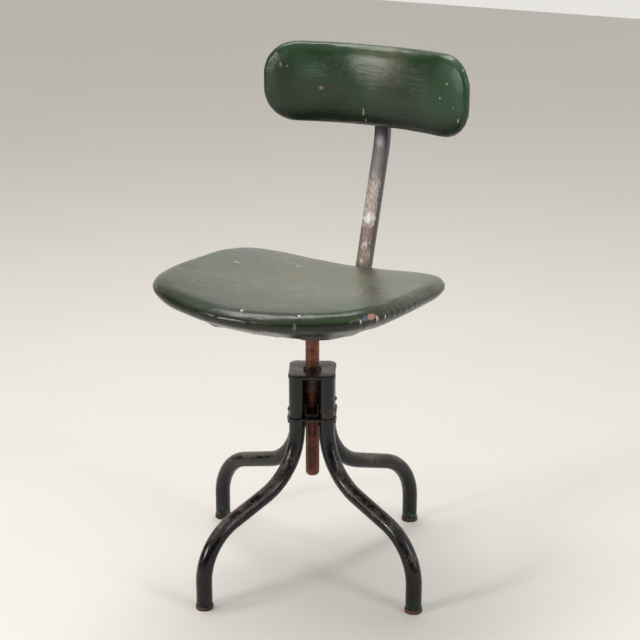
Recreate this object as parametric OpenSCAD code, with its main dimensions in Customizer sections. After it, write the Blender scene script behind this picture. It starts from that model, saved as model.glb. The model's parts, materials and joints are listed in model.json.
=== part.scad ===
// Screw-spindle swivel work chair: four bent tube legs, a threaded spindle that
// raises the seat as it turns, a padded saddle seat and an adjustable backrest.
// Millimetres, +Z up, floor at Z = 0, spindle axis on Z, the sitter faces -Y.

/* [Base] */
// Outside diameter of the leg tube
tube_d = 25.4; // [24:0.1:27]
// Wall thickness of the leg tube
tube_wall = 1.6; // [1:0.1:2.5]
// Half of the centre distance between neighbouring tubes in the column
column_half = 23.7; // [22.5:0.1:25]
// Height of the top of the column head plate
head_z = 340; // [330:1:350]
// Height at which the legs start to bend outwards
bend_z = 247; // [240:1:250]
// Centreline radius of the upper leg bend
upper_bend_r = 101.6; // [90:0.1:110]
// Centreline radius of the lower leg bend
lower_bend_r = 88.9; // [80:0.1:95]
// Slope of the straight part of the leg below the horizontal, degrees
leg_slope = 18.4; // [12:0.1:24]
// Length of the straight part of the leg
leg_straight = 70; // [50:1:85]
// Height of the guide plate round the foot of the column
guide_z = 264; // [262:1:268]
// How far the legs stand turned from the seat, degrees
base_turn = 26.1; // [0:0.1:90]

/* [Spindle] */
// Outside diameter of the threaded spindle
spindle_d = 22.2; // [20:0.1:23]
// Height of the spindle's lower end above the floor
spindle_end_z = 157; // [150:1:170]
// Lead of the spindle thread
thread_lead = 5.08; // [4:0.01:6.5]

/* [Seat] */
// Height of the seat's top on the spindle axis
seat_z = 490; // [480:1:500]
// Backward tilt of the seat, degrees
seat_tilt = 4.6; // [0:0.1:6]
// How far the sides of the seat rise above its middle
seat_dish = 17; // [0:1:22]
// Thickness of the leathercloth
cloth = 1.2; // [0.8:0.1:1.6]
// Thickness of the seat board
board_t = 8; // [6:0.5:10]

/* [Backrest] */
// Half of the pad's width
back_half_w = 183; // [160:1:190]
// Half of the pad's height
back_half_h = 67; // [60:1:75]
// Height of the pad's middle
back_z = 756; // [745:1:760]
// Corner radius of the pad
back_corner = 52; // [40:1:60]
// How far the pad's ends curve forwards
back_sag = 42; // [20:1:50]

/* [Back bar] */
// Width of the flat bar
bar_w = 24.5; // [20:0.1:26]
// Thickness of the flat bar
bar_t = 14; // [11:0.1:14]
// Distance of the bar's upright end behind the spindle axis
bar_y = 246.5; // [244:0.5:250]
// Lean of the bar behind the seat, degrees from upright
bar_lean = 18; // [12:0.5:22]
// Height of the bar's top end
bar_top_z = 806; // [800:1:812]

/* [Hidden] */
$fn = 64;

// Colours
black_paint = "#1c1e20";
rusty_steel = "#6b3a26";
worn_steel = "#6f6a63";
green_cloth = "#3c4a36";
bare_ply = "#8a6f4e";
stuffing = "#cdbb92";

// Clearances
fit = 0.05;
gap = 0.3;

// Base
tube_r = tube_d / 2;
bore_r = tube_r - tube_wall;
column_r = column_half * sqrt(2);
leg_turn = 90 - leg_slope;
sole_t = 2;
ferrule_r = 13.8;
ferrule_h = 6;
plate_t = 3;
head_bead = 1.3;
tube_top_z = head_z - plate_t;
nut_r = 18.5;
nut_len = 32;
nut_collar_r = 14.5;
nut_collar_h = 3;
washer_r = 13.5;
washer_t = 2;
washer_z = head_z + nut_collar_h + 0.2;
rivet_head_r = 3.8;
rivet_head_h = 2.8;
rivet_shank_r = 2.4;
rivet_rows = [guide_z - 4.6, guide_z + 16];
tab_h = 11;
leg_angles = [251.1, 341.1, 71.1, 161.1];

// Spindle
spindle_r = spindle_d / 2;
spindle_top_z = 438;
thread_depth = 0.5;
thread_top_z = 405;

// Seat
flange_r = 46;
flange_t = 5;
hub_r = 17;
hub_z = 416;
seat_under = -50;
seat_centre = [0, -50];
dish_half = 200;
cover_gap = 0.5;

// Right half of the seat's plan, front to rear
seat_half = [
    [0, -247], [75, -237], [140, -213], [184, -172], [201, -100],
    [203, -20], [200, 50], [178, 104], [128, 132], [60, 138], [0, 138]
];

// Edge of the covered seat, as inset from the plan and depth below the top
seat_edge = [
    [150, 3], [90, 2], [40, 0.5], [18, -1], [9, -4.5], [3, -10], [0, -17],
    [3, -24], [12, -30], [27, -36], [47, -43.5], [68, -50], [84, -50]
];
seat_board_from = 9;

// Edge of the covered backrest, as inset from its outline and depth forwards
back_edge = [
    [60, -17], [38, -16.5], [20, -15], [9, -11.5], [3, -6.5], [0, 0],
    [2, 5.5], [7, 9.5], [16, 12], [36, 13]
];
back_board_from = 7;
back_board_t = 6;

// Bar
bar_bend_r = 32;
bar_arc_r = 120;
bar_run = -63.5;
bar_front_y = 36;
guide_y0 = 50;
guide_len = 22;
guide_wall = 3;
guide_screw_y = [5, 17];
sleeve_wall = 2.5;
knob_r = 9;
sleeve_half_h = 26;
cheek_t = 3;
pin_r = 3;
pivot_drop = 15;

// ---------- general helpers ----------

// One point of a Catmull-Rom curve through four control points
function curve_point(a, b, c, d, t) =
    0.5 * (2 * b + (c - a) * t + (2 * a - 5 * b + 4 * c - d) * t * t
        + (3 * b - a - 3 * c + d) * t * t * t);

// Closed smooth curve through control points, with steps points between each pair
function closed_curve(p, steps) = let(n = len(p)) [
    for (i = [0 : n - 1], s = [0 : steps - 1])
        curve_point(p[(i + n - 1) % n], p[i], p[(i + 1) % n], p[(i + 2) % n], s / steps)
];

// Point moved towards a centre by a distance
function inset_point(p, centre, d) = centre + (p - centre) * (1 - d / norm(p - centre));

// Profile of [inset, depth] points moved inwards, square to its own direction
function inner_profile(p, d) = let(n = len(p)) [
    for (i = [0 : n - 1])
        let(a = p[max(i - 1, 0)], b = p[min(i + 1, n - 1)], t = (b - a) / norm(b - a))
            p[i] + d * [-t.y, t.x]
];

// Part of a list
function slice(p, from, to) = [for (i = [from : to]) p[i]];
function reversed(p) = [for (i = [len(p) - 1 : -1 : 0]) p[i]];

// Closed solid through a stack of rings, with a point closing each end
module lofted(rings, first, last) {
    n = len(rings[0]);
    m = len(rings);
    points = concat([for (r = rings) each r], [first, last]);
    sides = [
        for (k = [0 : m - 2], i = [0 : n - 1])
            let(j = (i + 1) % n, a = k * n, b = (k + 1) * n)
                each [[a + i, a + j, b + i], [a + j, b + j, b + i]]
    ];
    start = [for (i = [0 : n - 1]) [m * n, (i + 1) % n, i]];
    finish = [for (i = [0 : n - 1]) [m * n + 1, (m - 1) * n + i, (m - 1) * n + (i + 1) % n]];
    polyhedron(points, concat(sides, start, finish));
}

// Domed head with a shank, pointing up from its seat at Z = 0
module domed_fastener(head_r, head_h, shank_r, shank_len) {
    dome_r = (head_r * head_r + head_h * head_h) / (2 * head_h);
    intersection() {
        translate([0, 0, head_h - dome_r]) sphere(dome_r);
        cylinder(r = head_r, h = head_h);
    }
    translate([0, 0, -shank_len]) cylinder(r = shank_r, h = shank_len + head_h / 3);
}

// ---------- base ----------

module at_base_turn() {
    rotate([0, 0, base_turn]) children();
}

// Solid round bar along a leg's centreline: column, upper bend, slope, lower bend and foot.
// The straight parts are finer by a hair and run into the bends, so that no two surfaces coincide.
module leg_core(r, past) {
    hair = 0.02;
    into = 1;
    upper_x = column_r + upper_bend_r * (1 - cos(leg_turn));
    upper_z = bend_z - upper_bend_r * sin(leg_turn);
    foot_z = upper_z - leg_straight * sin(leg_slope) - lower_bend_r * sin(leg_turn);
    translate([column_r, 0, bend_z - into])
        cylinder(r = r - hair, h = tube_top_z + past - bend_z + into);
    translate([column_r + upper_bend_r, 0, bend_z]) rotate([90, 0, 0]) rotate([0, 0, 180])
        rotate_extrude(angle = leg_turn) translate([upper_bend_r, 0]) circle(r);
    translate([upper_x, 0, upper_z]) rotate([0, 90 + leg_slope, 0]) translate([0, 0, -into])
        cylinder(r = r - hair, h = leg_straight + 2 * into);
    translate([foot_r - lower_bend_r, 0, foot_z]) rotate([90, 0, 0])
        rotate_extrude(angle = leg_turn) translate([lower_bend_r, 0]) circle(r);
    translate([foot_r, 0, sole_t - past]) cylinder(r = r - hair, h = foot_z + into - sole_t + past);
}

foot_r = column_r + (upper_bend_r + lower_bend_r) * (1 - cos(leg_turn))
    + leg_straight * cos(leg_slope);

module leg(angle) {
    color(black_paint) rotate([0, 0, angle]) difference() {
        leg_core(tube_r, 0);
        leg_core(bore_r, 1);
    }
}

module foot(angle) {
    color(rusty_steel) rotate([0, 0, angle]) translate([foot_r, 0, 0]) difference() {
        cylinder(r = ferrule_r, h = ferrule_h);
        translate([0, 0, sole_t]) cylinder(r = tube_r + fit, h = ferrule_h);
    }
}

module leg_front() { leg(leg_angles[0]); }
module leg_left() { leg(leg_angles[1]); }
module leg_rear() { leg(leg_angles[2]); }
module leg_right() { leg(leg_angles[3]); }
module foot_front() { foot(leg_angles[0]); }
module foot_left() { foot(leg_angles[1]); }
module foot_rear() { foot(leg_angles[2]); }
module foot_right() { foot(leg_angles[3]); }

// Rounded square that follows the four tubes, grown past them
module column_outline(grow) {
    side = 2 * (column_half + tube_r + grow) - 1.6;
    for (x = [-1, 1], y = [-1, 1]) translate([x, y] * column_half) circle(tube_r + grow);
    square([2 * column_half, side], center = true);
    square([side, 2 * column_half], center = true);
}

module head_plate() {
    color(black_paint) at_base_turn() difference() {
        union() {
            translate([0, 0, tube_top_z]) linear_extrude(plate_t) column_outline(0);
            translate([0, 0, tube_top_z - 3.2]) linear_extrude(4.8) column_outline(head_bead);
        }
        translate([0, 0, tube_top_z - 4]) linear_extrude(4) column_outline(fit);
        translate([0, 0, tube_top_z - 1]) cylinder(r = nut_collar_r + fit, h = plate_t + 2);
    }
}

module spindle_nut() {
    color(rusty_steel) difference() {
        union() {
            translate([0, 0, tube_top_z - nut_len]) cylinder(r = nut_r, h = nut_len);
            translate([0, 0, tube_top_z - 1])
                cylinder(r = nut_collar_r, h = 1 + plate_t + nut_collar_h);
        }
        translate([0, 0, tube_top_z - nut_len - 1])
            cylinder(r = spindle_r + fit, h = nut_len + plate_t + nut_collar_h + 2);
    }
}

module thrust_washer() {
    color(rusty_steel) translate([0, 0, washer_z]) difference() {
        cylinder(r = washer_r, h = washer_t);
        translate([0, 0, -1]) cylinder(r = spindle_r + fit, h = washer_t + 2);
    }
}

cheek_x = column_half - tube_r - fit;

module guide_plate() {
    tab_t = 2.2;
    tab_w = 12;
    color(black_paint) at_base_turn() translate([0, 0, guide_z]) difference() {
        union() {
            linear_extrude(plate_t) column_outline(3);
            for (x = [-1, 1], y = [-1, 1])
                translate([x * (cheek_x - tab_t / 2), y * column_half, (1 - tab_h) / 2])
                    cube([tab_t, tab_w, tab_h + 1], center = true);
        }
        translate([0, 0, -1]) cylinder(r = spindle_r + fit, h = plate_t + 2);
        for (x = [-1, 1], y = [-1, 1])
            translate([x * column_half, y * column_half, -1])
                cylinder(r = tube_r + fit, h = plate_t + 2);
        for (y = [-1, 1])
            translate([0, y * column_half, rivet_rows[0] - guide_z]) rotate([0, 90, 0])
                cylinder(r = rivet_shank_r + fit, h = 30, center = true);
    }
}

// Folded bracket between two neighbouring tubes, above the guide plate
module guide_bracket() {
    depth = 13;
    height = 24;
    wall = 2.2;
    translate([0, -column_half, guide_z + plate_t]) difference() {
        union() {
            translate([-cheek_x, -depth / 2, 0]) cube([2 * cheek_x, depth, height]);
            translate([-cheek_x + wall, -depth / 2 - 1.4, 0]) cube([2 * (cheek_x - wall), 3, 7.5]);
        }
        translate([-cheek_x + wall, -depth / 2 + wall, wall])
            cube([2 * (cheek_x - wall), 2 * depth, height]);
        translate([-cheek_x + wall, -depth, 7.5]) cube([2 * (cheek_x - wall), 2 * depth, height]);
        translate([0, 0, rivet_rows[1] - guide_z - plate_t]) rotate([0, 90, 0])
            cylinder(r = rivet_shank_r + fit, h = 60, center = true);
    }
}

module guide_brackets() {
    color(black_paint) at_base_turn() for (a = [0, 180]) rotate([0, 0, a]) guide_bracket();
}

module side_plates() {
    width = 2 * (column_half - tube_r) - 0.2;
    color(black_paint) at_base_turn() for (x = [-1, 1])
        translate([x * (column_half + 3) - 1.25, -width / 2, guide_z + plate_t + 0.2])
            cube([2.5, width, tube_top_z - guide_z - plate_t - 0.4]);
}

module column_rivets() {
    shank = 2 * tube_r + 2.2;
    color(rusty_steel) at_base_turn() for (x = [-1, 1], y = [-1, 1], z = rivet_rows)
        translate([x * (column_half + tube_r - 0.4), y * column_half, z])
            rotate([0, x * 90, 0])
                domed_fastener(rivet_head_r, rivet_head_h, rivet_shank_r, shank);
}

// ---------- spindle and seat ----------

// Spindle's outline: a domed end, a run of thread ridges and a plain top
module spindle() {
    dome = 6;
    turns = floor((thread_top_z - spindle_end_z - dome) / thread_lead);
    ridges = [
        for (i = [0 : turns - 1])
            let(z = spindle_end_z + dome + i * thread_lead) each [
                [spindle_r, z + 0.6],
                [spindle_r, z + thread_lead - 1.8],
                [spindle_r - thread_depth, z + thread_lead - 1.2],
                [spindle_r - thread_depth, z + thread_lead]
            ]
    ];
    nose = [
        for (a = [0 : 15 : 75])
            [spindle_r - dome + dome * sin(a), spindle_end_z + dome - dome * cos(a)]
    ];
    outline = concat(
        [[0, spindle_end_z]], nose, ridges,
        [[spindle_r, thread_top_z + 1], [spindle_r, spindle_top_z], [0, spindle_top_z]]
    );
    color(rusty_steel) difference() {
        rotate_extrude() polygon(outline);
        pin_hole();
    }
}

pin_z = hub_z + 9;

module pin_hole() {
    translate([0, 0, pin_z]) rotate([0, 90, 0])
        cylinder(r = pin_r + fit, h = 60, center = true);
}

module spindle_pin() {
    color(worn_steel) translate([0, 0, pin_z]) rotate([0, 90, 0])
        cylinder(r = pin_r, h = 2 * hub_r + 4, center = true);
}

// Frame of the tilted seat, with its top on the axis at the origin
module at_seat() {
    translate([0, 0, seat_z]) rotate([-seat_tilt, 0, 0]) children();
}

flange_holes = [for (a = [45 : 90 : 315]) 33 * [cos(a), sin(a)]];

module seat_flange() {
    color(black_paint) difference() {
        union() {
            at_seat() translate([0, 0, seat_under - gap - flange_t])
                cylinder(r = flange_r, h = flange_t);
            translate([0, 0, hub_z]) cylinder(r = hub_r, h = spindle_top_z - hub_z - 4);
        }
        translate([0, 0, hub_z - 1])
            cylinder(r = spindle_r + fit, h = spindle_top_z - hub_z + 10);
        pin_hole();
        at_seat() for (p = flange_holes)
            translate([p.x, p.y, seat_under - 20]) cylinder(r = 3.2, h = 40);
    }
}

module hex_screw(head_r, head_h, shank_r, shank_len) {
    translate([0, 0, -head_h]) cylinder(r = head_r, h = head_h, $fn = 6);
    cylinder(r = shank_r, h = shank_len);
}

module flange_screws() {
    color(worn_steel) at_seat() for (p = flange_holes)
        translate([p.x, p.y, seat_under - gap - flange_t]) hex_screw(5.5, 3.6, 3, 11);
}

seat_plan = closed_curve(
    concat(seat_half, [for (i = [len(seat_half) - 2 : -1 : 1]) [-seat_half[i].x, seat_half[i].y]]),
    4
);

// Ring of the seat at an [inset, depth] point, following the dish
function seat_ring(e) = [
    for (p = seat_plan)
        let(q = inset_point(p, seat_centre, e.x))
            [q.x, q.y, e.y + seat_dish * pow(q.x / dish_half, 2)]
];

function seat_middle(depth) = [seat_centre.x, seat_centre.y, depth];

module seat_board() {
    low = slice(inner_profile(seat_edge, cloth + cover_gap), seat_board_from, len(seat_edge) - 1);
    high = slice(
        inner_profile(seat_edge, cloth + cover_gap + board_t), seat_board_from, len(seat_edge) - 1
    );
    flat_low = seat_under + cloth + cover_gap;
    rings = [for (e = concat(reversed(high), low)) seat_ring(e)];
    color(bare_ply) at_seat() lofted(
        rings, seat_middle(flat_low + board_t), seat_middle(flat_low)
    );
}

module seat_padding() {
    count = len(seat_edge);
    outer = slice(inner_profile(seat_edge, cloth + cover_gap), 0, seat_board_from - 1);
    inner = slice(
        inner_profile(seat_edge, cloth + 2 * cover_gap + board_t), seat_board_from - 1, count - 1
    );
    rings = [for (e = concat(outer, inner)) seat_ring(e)];
    color(stuffing) at_seat() lofted(
        rings, seat_middle(seat_edge[0].y - cloth),
        seat_middle(seat_under + cloth + 2 * cover_gap + board_t)
    );
}

module seat_cover() {
    rings = [for (e = concat(seat_edge, reversed(inner_profile(seat_edge, cloth)))) seat_ring(e)];
    color(green_cloth) at_seat() lofted(
        rings, seat_middle(seat_edge[0].y), seat_middle(seat_edge[0].y - cloth)
    );
}

module seat_tacks() {
    step = 3;
    inset = 72;
    guide_clear = 38;
    color(worn_steel) at_seat() for (i = [0 : step : len(seat_plan) - 1]) {
        q = inset_point(seat_plan[i], seat_centre, inset);
        rise = seat_dish * pow(q.x / dish_half, 2);
        if (q.y < 0 || abs(q.x) > guide_clear)
            translate([q.x, q.y, seat_under + rise]) rotate([180, 0, 0])
                domed_fastener(3.5, 1.4, 0.8, 5);
    }
}

// ---------- back bar and its guide ----------

bar_half_w = bar_w / 2;
bar_half_t = bar_t / 2;
clamp_y = guide_y0 + guide_len / 2;

module bar_guide() {
    wing = 20;
    inner_w = bar_half_w + gap;
    low = bar_run - bar_half_t - gap;
    color(black_paint) at_seat() translate([0, guide_y0, 0]) difference() {
        union() {
            translate([-inner_w - guide_wall, 0, low - guide_wall])
                cube([2 * (inner_w + guide_wall), guide_len, seat_under - gap - low + guide_wall]);
            translate([-inner_w - wing, 0, seat_under - gap - guide_wall])
                cube([2 * (inner_w + wing), guide_len, guide_wall]);
        }
        translate([-inner_w, -1, low]) cube([2 * inner_w, guide_len + 2, 60]);
        for (x = [-1, 1], y = guide_screw_y)
            translate([x * (inner_w + 12), y, seat_under - 20]) cylinder(r = 2.6, h = 30);
        translate([0, guide_len / 2, low - 10]) cylinder(r = 4 + fit, h = 12);
    }
}

module guide_screws() {
    x_screw = bar_half_w + gap + 12;
    color(worn_steel) at_seat() for (x = [-1, 1], y = guide_screw_y)
        translate([x * x_screw, guide_y0 + y, seat_under - gap - guide_wall]) rotate([180, 0, 0])
            domed_fastener(4.6, 2.4, 2.4, 10);
}

// Round knob with finger scallops on a threaded shank, shank end at Z = 0, knob above
module thumb_screw(shank_r, reach) {
    cylinder(r = shank_r, h = reach + 1);
    translate([0, 0, reach]) difference() {
        cylinder(r = knob_r, h = 9);
        for (a = [0 : 60 : 300]) rotate([0, 0, a]) translate([knob_r + 2.2, 0, -1])
            cylinder(r = 3.6, h = 11);
    }
}

module bar_clamp_screw() {
    color(worn_steel) at_seat() translate([0, clamp_y, bar_run - bar_half_t - 0.1])
        rotate([180, 0, 0]) thumb_screw(4, 11);
}

// Point of the seat's frame in the YZ plane of the whole chair
function seat_yz(y, z) = [
    y * cos(seat_tilt) + z * sin(seat_tilt),
    seat_z - y * sin(seat_tilt) + z * cos(seat_tilt)
];

// The bar's centreline: a run under the seat, a bend, a leaning part, an arc and an upright end
run_start = seat_yz(bar_front_y, bar_run);
run_dir = [cos(seat_tilt), -sin(seat_tilt)];
lean_dir = [sin(bar_lean), cos(bar_lean)];
upright_z = 683;
arc_start = [
    bar_y - bar_arc_r * (1 - cos(bar_lean)),
    upright_z - bar_arc_r * sin(bar_lean)
];
cross_dirs = run_dir.x * lean_dir.y - run_dir.y * lean_dir.x;
to_arc = arc_start - run_start;
run_full = (to_arc.x * lean_dir.y - to_arc.y * lean_dir.x) / cross_dirs;
corner = run_start + run_full * run_dir;
bend_angle = 90 - bar_lean + seat_tilt;
tangent_len = bar_bend_r * tan(bend_angle / 2);

// Points of an arc in the YZ plane that starts at a point and direction and turns upwards
function arc_path(start, angle, radius, turn, steps) = [
    for (i = [0 : steps])
        let(a = angle + turn * i / steps)
            start + radius * [sin(a) - sin(angle), cos(angle) - cos(a)]
];

bar_path = concat(
    [run_start],
    arc_path(corner - tangent_len * run_dir, -seat_tilt, bar_bend_r, bend_angle, 16),
    arc_path(arc_start, 90 - bar_lean, bar_arc_r, bar_lean, 8),
    [[bar_y, bar_top_z]]
);

// Points beside a path at a distance to its left
function beside(path, d) = let(n = len(path)) [
    for (i = [0 : n - 1])
        let(
            before = i == 0 ? path[1] - path[0] : path[i] - path[i - 1],
            after = i == n - 1 ? before : path[i + 1] - path[i],
            t = before / norm(before) + after / norm(after),
            normal = [-t.y, t.x] / norm(t),
            stretch = 2 / norm(t)
        ) path[i] + d * stretch * normal
];

module back_bar() {
    outline = concat(beside(bar_path, bar_half_t), reversed(beside(bar_path, -bar_half_t)));
    color(black_paint) rotate([90, 0, 90]) translate([0, 0, -bar_half_w])
        linear_extrude(bar_w) polygon(outline);
}

// ---------- backrest ----------

sleeve_in_w = bar_half_w + gap;
sleeve_in_t = bar_half_t + gap;
sleeve_out_w = sleeve_in_w + sleeve_wall;
screw_z = back_z - pivot_drop;

module back_carrier() {
    color(black_paint) translate([0, bar_y, back_z]) difference() {
        cube([
            2 * sleeve_out_w, 2 * (sleeve_in_t + sleeve_wall), 2 * sleeve_half_h
        ], center = true);
        cube([2 * sleeve_in_w, 2 * sleeve_in_t, 2 * sleeve_half_h + 2], center = true);
        for (x = [-1, 1]) translate([x * (sleeve_in_w + sleeve_wall / 2), 0, 0])
            rotate([0, 90, 0]) cylinder(r = 2 + fit, h = sleeve_wall + 2, center = true);
        translate([sleeve_in_w + sleeve_wall / 2, 0, -pivot_drop]) rotate([0, 90, 0])
            cylinder(r = 3 + fit, h = sleeve_wall + 2, center = true);
    }
}

// Shoulder pins on both sides of the sleeve, with slotted heads outside the bracket's cheeks
module pivot_pins() {
    color(worn_steel) for (x = [-1, 1])
        translate([x * sleeve_in_w, bar_y, back_z]) rotate([0, x * 90, 0]) {
            cylinder(r = 2, h = sleeve_wall + 1);
            translate([0, 0, sleeve_wall + 0.05]) cylinder(r = pin_r, h = cheek_t + 0.6);
            translate([0, 0, sleeve_wall + cheek_t + 0.6]) cylinder(r = 5.5, h = 2.4);
        }
}

module carrier_screw() {
    color(worn_steel) translate([bar_half_w + 0.1, bar_y, screw_z]) rotate([0, 90, 0])
        thumb_screw(3, 11);
}

web_y = bar_y - 15;
bracket_half_z = 9;
bracket_holes = [for (x = [-1, 1], z = [-1, 1]) [x * 34, z * 5]];
back_face_y = 13;
pad_y = web_y - 3 - back_face_y - gap;

module pivot_bracket() {
    side_x = sleeve_out_w + 0.3;
    color(black_paint) translate([0, 0, back_z]) difference() {
        union() {
            for (x = [-1, 1])
                translate([x * (side_x + cheek_t / 2), 0, 0]) rotate([0, 90, 0]) {
                    translate([0, bar_y, 0]) cylinder(r = bracket_half_z, h = cheek_t, center = true);
                    translate([-bracket_half_z, web_y - 3, -cheek_t / 2])
                        cube([2 * bracket_half_z, bar_y - web_y + 3, cheek_t]);
                }
            translate([-44, web_y - 3, -bracket_half_z]) cube([88, 3, 2 * bracket_half_z]);
        }
        translate([0, bar_y, 0]) rotate([0, 90, 0])
            cylinder(r = pin_r + fit, h = 80, center = true);
        for (p = bracket_holes) translate([p.x, web_y, p.y]) rotate([90, 0, 0])
            cylinder(r = 2.2, h = 20, center = true);
    }
}

module bracket_screws() {
    color(worn_steel) for (p = bracket_holes)
        translate([p.x, web_y, back_z + p.y]) rotate([-90, 0, 0])
            domed_fastener(4, 2, 2, 9);
}

// Points between two points, without its end
function subdivided(a, b, steps) = [for (i = [0 : steps - 1]) a + (b - a) * i / steps];

// Quarter circle of the backrest's outline about a corner centre
function corner_arc(centre, from) = [
    for (a = [from : 9 : from + 90]) centre + back_corner * [cos(a), sin(a)]
];

// Outline of the backrest, seen from the front: corner arcs joined by long and short sides
arc_x = back_half_w - back_corner;
arc_z = back_half_h - back_corner;
back_outline = concat(
    corner_arc([arc_x, arc_z], 0),
    slice(subdivided([arc_x, back_half_h], [-arc_x, back_half_h], 12), 1, 11),
    corner_arc([-arc_x, arc_z], 90),
    corner_arc([-arc_x, -arc_z], 180),
    slice(subdivided([-arc_x, -back_half_h], [arc_x, -back_half_h], 12), 1, 11),
    corner_arc([arc_x, -arc_z], 270)
);

// Ring of the backrest at an [inset, depth] point, curved forwards at its ends
function back_ring(e) = [
    for (p = back_outline)
        let(q = inset_point(p, [0, 0], e.x))
            [q.x, e.y - back_sag * pow(q.x / back_half_w, 2), q.y]
];

module at_back() {
    translate([0, pad_y, back_z]) children();
}

module back_board() {
    n = len(back_edge) - 1;
    low = slice(inner_profile(back_edge, -cloth - cover_gap), back_board_from, n);
    high = slice(inner_profile(back_edge, -cloth - cover_gap - back_board_t), back_board_from, n);
    face = back_face_y - cloth - cover_gap;
    rings = [for (e = concat(reversed(high), low)) back_ring(e)];
    color(bare_ply) at_back() lofted(rings, [0, face - back_board_t, 0], [0, face, 0]);
}

module back_padding() {
    n = len(back_edge) - 1;
    outer = slice(inner_profile(back_edge, -cloth - cover_gap), 0, back_board_from - 1);
    inner = slice(
        inner_profile(back_edge, -cloth - 2 * cover_gap - back_board_t), back_board_from - 1, n
    );
    rings = [for (e = concat(outer, inner)) back_ring(e)];
    color(stuffing) at_back() lofted(
        rings, [0, back_edge[0].y + cloth, 0],
        [0, back_face_y - cloth - 2 * cover_gap - back_board_t, 0]
    );
}

module back_cover() {
    rings = [for (e = concat(back_edge, reversed(inner_profile(back_edge, -cloth)))) back_ring(e)];
    color(green_cloth) at_back() lofted(
        rings, [0, back_edge[0].y, 0], [0, back_edge[0].y + cloth, 0]
    );
}

module back_tacks() {
    color(worn_steel) at_back() for (i = [1 : 2 : len(back_outline) - 1]) {
        q = inset_point(back_outline[i], [0, 0], 29);
        translate([q.x, back_face_y - 0.35 - back_sag * pow(q.x / back_half_w, 2), q.y])
            rotate([-90, 0, 0]) domed_fastener(3, 1.2, 0.7, 4);
    }
}

leg_front();
leg_left();
leg_rear();
leg_right();
foot_front();
foot_left();
foot_rear();
foot_right();
head_plate();
spindle_nut();
guide_plate();
guide_brackets();
side_plates();
column_rivets();
thrust_washer();
spindle();
spindle_pin();
seat_flange();
flange_screws();
seat_board();
seat_padding();
seat_cover();
seat_tacks();
bar_guide();
guide_screws();
bar_clamp_screw();
back_bar();
back_carrier();
pivot_pins();
carrier_screw();
pivot_bracket();
bracket_screws();
back_board();
back_padding();
back_cover();
back_tacks();
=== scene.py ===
"""Looks of the screw-spindle swivel chair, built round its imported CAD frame.

Metres, +Z up, the sitter faces -Y.
"""

import json
import math

import bmesh
import bpy
import numpy as np
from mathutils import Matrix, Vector, noise
from mathutils.bvhtree import BVHTree
from mathutils.kdtree import KDTree


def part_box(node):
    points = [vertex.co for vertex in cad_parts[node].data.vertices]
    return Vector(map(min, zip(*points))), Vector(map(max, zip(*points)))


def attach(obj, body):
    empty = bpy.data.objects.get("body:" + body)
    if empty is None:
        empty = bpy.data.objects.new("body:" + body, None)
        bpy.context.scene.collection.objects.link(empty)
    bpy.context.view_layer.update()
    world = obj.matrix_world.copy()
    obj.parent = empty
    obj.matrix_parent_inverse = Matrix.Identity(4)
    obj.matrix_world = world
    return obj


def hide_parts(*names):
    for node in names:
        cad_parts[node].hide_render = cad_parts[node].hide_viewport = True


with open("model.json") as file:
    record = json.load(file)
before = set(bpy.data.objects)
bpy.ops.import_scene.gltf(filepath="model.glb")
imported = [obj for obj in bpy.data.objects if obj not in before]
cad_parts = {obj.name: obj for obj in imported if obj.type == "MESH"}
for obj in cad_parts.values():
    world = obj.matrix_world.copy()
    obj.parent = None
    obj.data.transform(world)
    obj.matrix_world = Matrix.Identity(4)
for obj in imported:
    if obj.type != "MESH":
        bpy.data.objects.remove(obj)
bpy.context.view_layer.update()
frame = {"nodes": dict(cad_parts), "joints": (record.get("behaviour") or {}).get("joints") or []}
nodes = frame["nodes"]
joints = {j["name"]: j for j in frame["joints"]}
MM = 0.001

# Each texture of a material starts this much further along, so that no two line up
TEXTURE_STEP = 3.7
TEXTURE_SLANT = (1, 0.61, 0.37)


# ---------- colours ----------

def rgb(code):
    """Linear colour from a screen colour such as 3c4a36."""
    parts = [int(code[i:i + 2], 16) / 255 for i in (0, 2, 4)]
    return tuple(p / 12.92 if p <= 0.04045 else ((p + 0.055) / 1.055) ** 2.4 for p in parts)


# ---------- node graphs ----------

def put(tree, socket, value):
    """Links a socket to another one, or sets its number or colour."""
    if isinstance(value, bpy.types.NodeSocket):
        tree.links.new(value, socket)
    elif hasattr(socket.default_value, "__len__") and len(socket.default_value) == 4:
        socket.default_value = (*value[:3], 1.0)
    else:
        socket.default_value = value


def smooth_step(tree, value, low, high, to_low, to_high):
    """Smooth step of a value between low and high, which may be given in either order."""
    node = tree.nodes.new("ShaderNodeMapRange")
    node.interpolation_type = "SMOOTHSTEP"
    put(tree, node.inputs["Value"], value)
    put(tree, node.inputs["From Min"], low)
    put(tree, node.inputs["From Max"], high)
    put(tree, node.inputs["To Min"], to_low)
    put(tree, node.inputs["To Max"], to_high)
    return node.outputs["Result"]


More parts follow.
